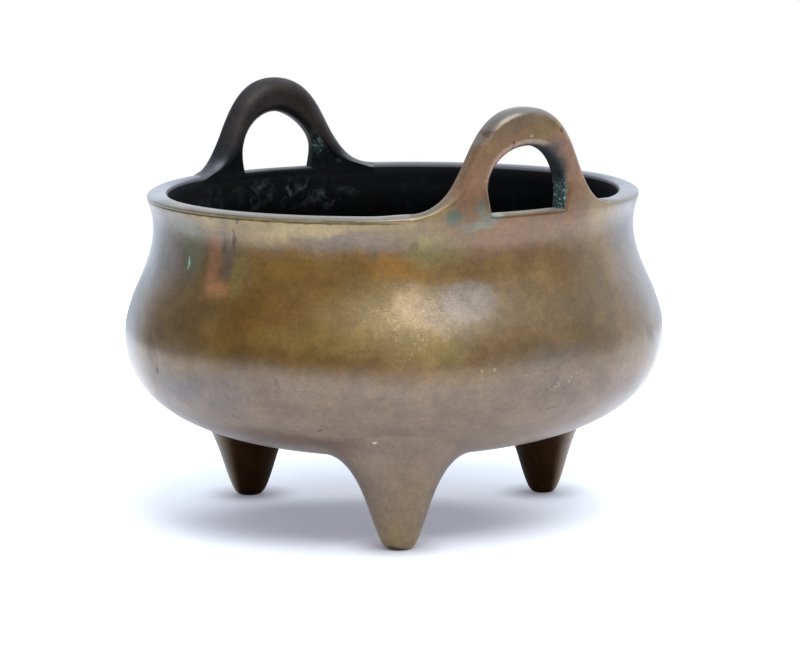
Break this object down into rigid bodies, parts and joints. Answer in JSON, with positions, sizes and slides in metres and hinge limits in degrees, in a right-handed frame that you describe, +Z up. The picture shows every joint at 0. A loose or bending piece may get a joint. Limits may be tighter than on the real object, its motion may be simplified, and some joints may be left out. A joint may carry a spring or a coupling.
{
  "type": "tripod censer",
  "caption": "Round-bellied bronze censer on rounded cone feet, with a crowned rim band and upright arched ears.",
  "frame": {"origin": "on the floor, under the middle of the bowl", "axes": "+Z up through the mouth, the ears on the X axis, one foot near the +Y axis and two on the -Y side"},
  "size_m": [0.1284, 0.1284, 0.1013],
  "materials": {
    "bowl_bronze": "patinated bronze, satin, golden brown with grey-violet and olive clouds",
    "rim_bronze": "patinated bronze, rubbed brighter along the crown",
    "ear_bronze": "patinated bronze, coppery brown outside and near black inside, with green crystals",
    "foot_bronze": "patinated bronze, taupe brown, olive at the tips"
  },
  "bodies": {
    "root": {"bowl": "bowl_bronze", "rim_band": "rim_bronze", "ear_right": "ear_bronze", "ear_left": "ear_bronze", "foot_front_right": "foot_bronze", "foot_back": "foot_bronze", "foot_front_left": "foot_bronze"}
  },
  "joints": []
}
